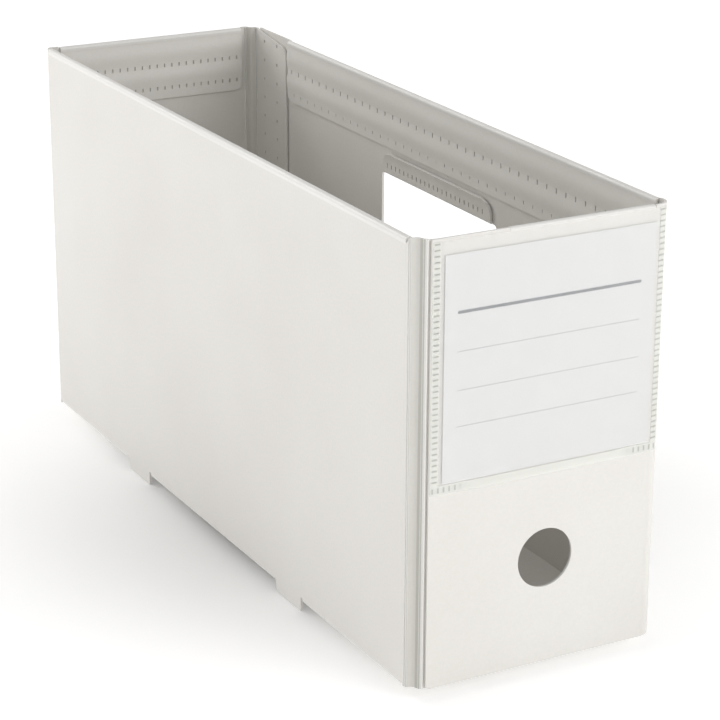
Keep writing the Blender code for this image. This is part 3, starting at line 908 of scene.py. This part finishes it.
def left_corners():
    """The back left corner's crease, and the front left strip with its two creases."""
    slant = (PIVOT_B - PIVOT_A).normalized() * CREASE_EDGE
    wall_front = Vector((LEFT_MID, LEFT_LOW.y))
    flap_start = Vector((FRONT_FLAP[0].x, PIVOT_B.y))
    # The strip side of this crease is in the darker strip look, painted shade.
    crease("front_left_crease_sheet", "front_left_crease", PIVOT_A + slant, PIVOT_A, wall_front,
           drop=OPEN_END,
           bands=((0.0, 0.25, CREASE_STRIP_SHADE), (0.75, 1.0, CREASE_SHEET)))
    # The strip's part next to the ridge is in the painted ridge shadow look.
    strip("front_left_strip_sheet", "front_left_strip", PIVOT_B - slant, PIVOT_A + slant, "front_strip",
          ((0.0, 0.3, STRIP_RIDGE_SHADOW),))
    # The ridge's strip side is in the painted ridge shadow look.
    crease("front_flap_crease_sheet", "front_flap_crease", flap_start, PIVOT_B, PIVOT_B - slant,
           ridged, ((RIDGE_SPAN, 1.0, CREASE_RIDGE_SHADOW),))
    crease("back_left_crease_sheet", "back_left_crease", Vector((LEFT_MID, LEFT_HIGH.y)), PIVOT_BL,
           Vector((BACK_LOW.x, BACK_MID)),
           bands=((0.0, 0.25, CREASE_SHEET), (0.75, 1.0, CREASE_SHEET)))


def back_right_corner():
    """The back right strip, its crease, and the round crease bead at the welded flap."""
    slant = (PIVOT_D - PIVOT_C).normalized() * CREASE_EDGE
    wall_end = Vector((BACK_HIGH.x, BACK_MID))
    # The strip side of this crease is in the darker strip look, painted shade.
    crease("back_strip_crease_sheet", "back_strip_crease", wall_end, PIVOT_C, PIVOT_C + slant,
           bands=((0.75, 1.0, CREASE_STRIP_SHADE),))
    near_bead = PIVOT_D - slant.normalized() * (HALF + BEAD_ROOM)
    strip("back_right_strip_sheet", "back_right_strip", PIVOT_C + slant, near_bead, "back_strip")

    flap_end = Vector((FLAP_MID, BACK_FLAP[1].y))
    section = [(flap_end + Vector((HALF, 0.0)), flap_end - Vector((HALF, 0.0)))]
    for step in range(BEND_STEPS + 1):
        angle = math.pi / 2 * step / BEND_STEPS
        side, ahead = HALF * math.cos(angle), HALF * math.sin(angle)
        section.append((PIVOT_D + Vector((side, ahead)), PIVOT_D + Vector((-side, ahead))))
    # The bead takes the lighter crease look, a painted highlight.
    bead = ribbon("back_flap_crease_bead", section, FLOOR, RIM, CREASE_LOOKS)
    soften_strip(bead)
    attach(bead, "right_wall")
    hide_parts("back_flap_crease")


# ---------------------------------------- front wall, corner, right wall
def front_wall():
    """The front wall with its finger hole and rim hem."""
    start, end = FRONT_LOW.x, CORNER.x
    hem_start, hem_end = FRONT_HEM[0].x, FRONT_HEM[1].x
    lower = softened((start, RIM), (start, FLOOR), (end, FLOOR), FRONT_CORNER * 1.6) + [(end, FLOOR)]
    upper = rim_edge(end, start, hem_end, hem_start, CROWN)[:-1]
    upper += softened((end, RIM), (start, RIM), (start, FLOOR), FRONT_CORNER)
    hole = arc(FINGER_CENTRE, FINGER_RADIUS, 0, 360, HOLE_STEPS)[:-1]
    fold = hem_fold(hem_start, hem_end, CROWN, LAYER / 2, 0.0)
    wall = sheet("front_wall_sheet", on_front, [lower + upper, hole], [fold])
    press_welds(wall, on_front, LAYER + HALF, hem_welds(hem_start, hem_end))
    smooth(wall)
    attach(wall, "front_wall")
    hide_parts("front_panel", "front_hem")


def weld_flap(name, node, place, u_free, u_fixed, slope, body):
    """A flap welded behind a wall, its top sloping down to its free side, with two columns of marks."""
    low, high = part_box(node)
    outline = rounded([(u_fixed, low.z), (u_fixed, FLAP_TOP), (u_free, FLAP_TOP - slope), (u_free, low.z)],
                      (0, 0, FLAP_CORNER, FLAP_FOOT_CORNER))
    item = flat_piece(name, place, outline, LAYER, SHEET, SHEET_LOOKS)
    round_edges(item)
    marks = []
    for offset in FLAP_COLUMNS:
        across = u_free + math.copysign(offset, u_fixed - u_free)
        foot, top = low.z + FLAP_COLUMN_FOOT, high.z - FLAP_COLUMN_TOP
        marks += weld_column(across, foot, top, FLAP_PITCH, FLAP_MARK)
    press_welds(item, place, LAYER + HALF, marks)
    smooth(item)
    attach(item, body)
    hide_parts(node)


def blend_round_corner(item):
    """Bake a piece's placement into its mesh."""
    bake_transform(item)


def front_right_corner():
    """The rounded corner between the front wall and the right wall."""
    outer = arc(CORNER, CORNER_RADIUS + HALF, -90, 0, CORNER_STEPS)
    inner = arc(CORNER, CORNER_RADIUS - HALF, -90, 0, CORNER_STEPS)
    section = [(Vector(p), Vector(q)) for p, q in zip(outer, inner)]
    item = ribbon("front_right_corner_sheet", section, FLOOR, RIM, SHEET_LOOKS)
    bevel_rims(item)
    smooth(item, BEND_ANGLE)
    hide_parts("front_right_crease")
    blend_round_corner(item)


def bevel_rims(item):
    """Round only the top and bottom edges of a strip, so that its ends stay flush."""
    shape = bmesh.new()
    shape.from_mesh(item.data)
    rims = []
    for edge in shape.edges:
        level = [vert.co.z for vert in edge.verts]
        faces = [abs(face.normal.z) > 0.9 for face in edge.link_faces]
        ends = [vert for vert in edge.verts if len(vert.link_edges) == 3]
        if abs(level[0] - level[1]) < 1e-7 and sum(faces) == 1 and len(ends) < 2:
            rims.append(edge)
    made = bmesh.ops.bevel(shape, geom=rims, offset=EDGE_ROUNDING, segments=2, profile=0.5,
                           affect="EDGES", clamp_overlap=True)
    # The rounded rims take the lighter edge look, a painted highlight.
    for polygon in made["faces"]:
        polygon.material_index = EDGE
    shape.to_mesh(item.data)
    shape.free()


def right_wall():
    """The right wall with its grip window, rim hem and grip flap."""
    start, end = CORNER.y, RIGHT_HIGH.y
    hem_start, hem_end = RIGHT_HEM[0].y, RIGHT_HEM[1].y
    base = RIM - HALF - HEM_RISE
    outline = tabbed_edge(start, end, FLOOR) + rim_edge(end, start, hem_end, hem_start, base)
    front, back, low, high = WINDOW
    grip_front, grip_back = GRIP_FLAP[0].y, GRIP_FLAP[1].y
    crown = high + LAYER / 2 + HALF
    window = rounded(
        [(front, low), (back, low), (back, high), (grip_back + NOTCH, high), (grip_back, crown),
         (grip_front, crown), (grip_front - NOTCH, high), (front, high)],
        [WINDOW_CORNER] * 3 + [0] * 4 + [WINDOW_CORNER])
    rim_fold = hem_fold(hem_start, hem_end, base, HEM_RISE, HEM_SWELL, RIGHT_HEM[0].z)
    grip_tip = GRIP_FLAP[1].z
    grip_fold = (grip_front, grip_back, crown, -LAYER / 2, grip_tip, GRIP_CORNER, 0.0, (), GRIP_SPRING)
    wall = sheet("right_wall_sheet", on_right, [outline, window], [rim_fold, grip_fold])
    marks = hem_welds(hem_start, hem_end, marks=RIGHT_MARKS)
    marks += weld_row(*GRIP_ROW, GRIP_PITCH, GRIP_MARK)
    press_welds(wall, on_right, LAYER + HALF, marks)
    smooth(wall)
    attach(wall, "right_wall")
    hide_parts("right_panel", "right_hem", "grip_flap")


# ---------------------------------------- bottom plate
def bottom():
    """The bottom plate and its hinge stretches between the tabs."""
    low, high = PLATE_LOW, PLATE_HIGH
    first = low.y + PLATE_CUT
    slot = LEFT_MID + PLATE_MID + TAB_ROOM
    hinge_side = [(low.x, first)]
    spans = []
    start = first
    for tab_front, tab_back in TAB_SPANS:
        slot_front, slot_back = tab_front - TAB_NOTCH_WIDTH, tab_back + TAB_ROOM
        hinge_side += [(low.x, slot_front), (slot, slot_front), (slot, slot_back), (low.x, slot_back)]
        spans.append((start, slot_front))
        start = slot_back
    spans.append((start, high.y))
    right = RIGHT_MID - HALF - PLATE_PLAY
    rear = BACK_MID - HALF - PLATE_PLAY
    front = FRONT_FLAP[1].y + PLATE_SWING
    bare_front = FRONT_MID + HALF + PLATE_SWING
    back_step = BACK_FLAP[0].y - FLAP_ROOM
    front_step = FRONT_FLAP[1].x + FLAP_ROOM
    outline = hinge_side + [
        (low.x, rear), (high.x - PLATE_CUT, rear), (high.x, rear - PLATE_CUT),
        (high.x, back_step), (right, back_step - FLAP_STEP), (right, bare_front),
        (front_step + FLAP_STEP, bare_front), (front_step, front), (low.x + PLATE_CUT + low.y - front, front)]
    radii = [0.0] * len(hinge_side) + [
        0.0, PLATE_CORNER, PLATE_CORNER, 0.0, 0.0, PLATE_ROUND, 0.0, 0.0, PLATE_CORNER]
    plate = flat_piece("bottom_plate_sheet", in_plan, rounded(outline, radii), PLATE_MID, SHEET, SHEET_LOOKS)
    round_edges(plate, look=FIRST)
    smooth(plate)
    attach(plate, "bottom")
    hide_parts("bottom_plate")

    wall_foot = Vector((LEFT_MID, PLATE_MID + CREASE_EDGE))
    line = Vector((LEFT_MID, PLATE_MID))
    plate_edge = Vector((low.x, PLATE_MID))
    section = bend_section(plate_edge, line, wall_foot, grooved)
    for number, (start, end) in enumerate(spans, start=1):
        # The bottom crease takes the lighter crease look, a painted highlight.
        item = ribbon("bottom_crease_sheet_%d" % number, section, start, end, CREASE_LOOKS, across_y)
        soften_strip(item)
        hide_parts("bottom_crease_%d" % number)
        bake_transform(item)


# ---------------------------------------- label pocket and card
# The film: its thickness, its middle's distance from the wall where it is seated and
# where it stands off, and how far round the corner it reaches, in degrees.
FILM = 0.0002
FILM_SEAT = 0.00012
FILM_STAND = 0.00072
FILM_RIPPLE = 0.00002
RIPPLES_ALONG = 170.0
RIPPLES_UP = 120.0
RIPPLE_START = 1.3
POCKET_BEND = 36.0
RAIL = 0.0029
FOOT = 0.0035

# The film's grid: fine where it leaves the wall, coarse over the card.
MARGIN_STEP = 0.0007
FOOT_STEP = 0.0006
CORNER_STEP = 0.0004
FINE_STEP = 0.0002
COARSE_STEP = 0.0028
SHOULDER = 0.0016
FOOT_RISE = (-0.0006, 0.0010)

# The film's slopes up from its welded margins and foot.  Between the two welded lower
# corners the foot stays open, so the film stands off there too, a little lower.
STAND_RAMP = 0.0014
MIDDLE_RAMP = (0.009, 0.016)
MIDDLE_STAND = 0.85
FOOT_RAMP = (-0.0004, 0.0008)
WELDED_EDGE = 0.0001

# Weld bars: the ladders down both margins, and the ticks at the lower corners.
BAR_HEIGHT = 0.00056
BAR_PITCH = 0.00203
BAR_RISE = 0.00012
BAR_SINK = 0.00002
BAR_STEP = 0.0005
BAR_SLOPE = 0.8
END_RISE = 0.3
END_SLOPE = 1.2
LEFT_BAR = (0.0006, 0.0027)
RIGHT_BAR = (0.0031, 0.0005)
BAR_FOOT = 0.0046
BAR_TOP = 0.001
TICKS = 6
TICK_PITCH = 0.0022
LEFT_TICK = 0.0010
RIGHT_TICK = 0.0014
TICK_HALF = 0.0003
TICK_SPAN = (0.0007, 0.0027)

# The card's printed lines: name, distance below the rim, height and look.
INK = 0.00002
CARD_CORNER = 0.0004
LINE_SPAN = (-0.0346, 0.038)
CARD_LINES = (
    ("label_card_heading_line", 0.0261, 0.0011, PRINT_LOOK),
    ("label_card_rule_1", 0.0398, 0.00032, RULE_LOOK),
    ("label_card_rule_2", 0.0535, 0.00032, RULE_LOOK),
    ("label_card_rule_3", 0.0664, 0.00032, RULE_LOOK),
)


def film_place(s, lift):
    """A point of the pocket in plan: s along the front wall's face and round its corner."""
    face = HALF + lift
    if s <= CORNER.x:
        return Vector((s, FRONT_MID - face))
    angle = (s - CORNER.x) / (CORNER_RADIUS + HALF) - math.pi / 2
    reach = CORNER_RADIUS + face
    return Vector((CORNER.x + reach * math.cos(angle), CORNER.y + reach * math.sin(angle)))


def ease(value, low, high):
    """Smooth 0 to 1 ramp."""
    t = min(1.0, max(0.0, (value - low) / (high - low)))
    return t * t * (3 - 2 * t)


def pocket():
    """The clear film, seated on the wall at its welded margins and standing over the card."""
    left, inner_left, inner_right = POCKET_LOW.x, POCKET_LOW.x + RAIL, CORNER.x
    right = inner_right + math.radians(POCKET_BEND) * (CORNER_RADIUS + HALF)
    low, high = POCKET_LOW.z, POCKET_HIGH.z
    seat = low + FOOT
    spans = graded((left, inner_left, MARGIN_STEP), (inner_left, inner_left + SHOULDER, FINE_STEP),
                   (inner_left + SHOULDER, inner_right - SHOULDER, COARSE_STEP),
                   (inner_right - SHOULDER, inner_right, FINE_STEP), (inner_right, right, CORNER_STEP))
    rise_start, rise_end = seat + FOOT_RISE[0], seat + FOOT_RISE[1]
    levels = graded((low, rise_start, FOOT_STEP), (rise_start, rise_end, FINE_STEP),
                    (rise_end, high, COARSE_STEP))
    shape = bmesh.new()
    grid = []
    for level in levels:
        row = []
        for s in spans:
            from_left, from_right = s - inner_left, inner_right - s
            over_card = ease(from_left, 0.0, STAND_RAMP) * ease(from_right, 0.0, STAND_RAMP)
            middle = ease(from_left, *MIDDLE_RAMP) * ease(from_right, *MIDDLE_RAMP)
            foot = ease(level - seat, *FOOT_RAMP)
            stand = over_card * max(foot, middle * MIDDLE_STAND)
            wave = math.sin(s * RIPPLES_ALONG + RIPPLE_START) * math.sin(level * RIPPLES_UP)
            lift = FILM_SEAT + (FILM_STAND - FILM_SEAT) * stand + FILM_RIPPLE * wave * over_card
            spot = film_place(s, lift)
            row.append(shape.verts.new((spot.x, spot.y, level)))
        grid.append(row)
    for first, second, level in zip(grid, grid[1:], levels[1:]):
        for index, s in enumerate(spans[:-1]):
            face = shape.faces.new((first[index], first[index + 1], second[index + 1], second[index]))
            welded = s < inner_left - WELDED_EDGE or s > inner_right - WELDED_EDGE or level < seat
            face.material_index = 1 if welded else 0
    bmesh.ops.recalc_face_normals(shape, faces=shape.faces)
    item = new_object("label_pocket_film", shape, (FILM_LOOK, MARGIN_LOOK))
    thickened(item, FILM)
    smooth(item, BEND_ANGLE)
    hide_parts("label_pocket")
    blend_round_corner(item)
    pocket_welds(left, right, low, high)


def film_bar(shape, s0, s1, z0, z1):
    """One raised bar on the film, bent with it, with tapered sides and low ends."""
    lift = FILM_SEAT + FILM / 2 - BAR_SINK
    columns = steps_between(s0, s1, BAR_STEP)
    rings = []
    for index, s in enumerate(columns):
        end = index in (0, len(columns) - 1)
        base = film_place(s, lift)
        peak = film_place(s, lift + BAR_RISE * (END_RISE if end else 1.0))
        inset = BAR_RISE * BAR_SLOPE * (END_SLOPE if end else 1.0)
        corners = ((base, z0), (peak, z0 + inset), (peak, z1 - inset), (base, z1))
        rings.append([shape.verts.new((spot.x, spot.y, level)) for spot, level in corners])
    for first, second in zip(rings, rings[1:]):
        for index in range(4):
            after = (index + 1) % 4
            shape.faces.new((first[index], first[after], second[after], second[index]))
    shape.faces.new(rings[0])
    shape.faces.new(rings[-1])


def pocket_welds(left, right, low, high):
    """The ladders of weld bars down both margins, and the ticks at the lower corners."""
    shape = bmesh.new()
    level = low + BAR_FOOT
    while level < high - BAR_TOP:
        film_bar(shape, left + LEFT_BAR[0], left + LEFT_BAR[1], level, level + BAR_HEIGHT)
        film_bar(shape, right - RIGHT_BAR[0], right - RIGHT_BAR[1], level, level + BAR_HEIGHT)
        level += BAR_PITCH
    foot, top = low + TICK_SPAN[0], low + TICK_SPAN[1]
    for index in range(TICKS):
        for s in (left + LEFT_TICK + TICK_PITCH * index, right - RIGHT_TICK - TICK_PITCH * index):
            film_bar(shape, s - TICK_HALF, s + TICK_HALF, foot, top)
    bmesh.ops.recalc_face_normals(shape, faces=shape.faces)
    item = new_object("label_pocket_weld_bars", shape, (BAR_LOOK,))
    smooth(item, BAR_ANGLE)
    blend_round_corner(item)


def card():
    """The label card with its printed lines."""
    low, high = CARD_LOW, CARD_HIGH
    outline = rounded(rectangle(low.x, low.z, high.x, high.z), [CARD_CORNER] * 4)
    middle = (low.y + high.y) / 2
    item = flat_piece("label_card_paper", across_y, outline, middle, high.y - low.y, (CARD_LOOK,))
    round_edges(item, CARD_ROUNDING, 1, FIRST)
    smooth(item)
    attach(item, "card")
    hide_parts("label_card")
    start, end = LINE_SPAN
    for name, drop, height, look in CARD_LINES:
        level = RIM - drop
        bar = rectangle(start, level - height / 2, end, level + height / 2)
        line = flat_piece(name, across_y, rounded(bar, [height / 2.2] * 4), low.y - INK / 2, INK, (look,))
        smooth(line)
        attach(line, "card")


left_wall()
back_wall()
left_corners()
back_right_corner()
front_wall()
front_right_corner()
right_wall()
weld_flap("front_weld_flap_sheet", "front_weld_flap", on_front,
          FRONT_FLAP[1].x, FRONT_FLAP[0].x, FRONT_FLAP_SLOPE, "front_wall")
weld_flap("back_weld_flap_sheet", "back_weld_flap", on_right,
          BACK_FLAP[0].y, BACK_FLAP[1].y, BACK_FLAP_SLOPE, "right_wall")
bottom()
pocket()
card()
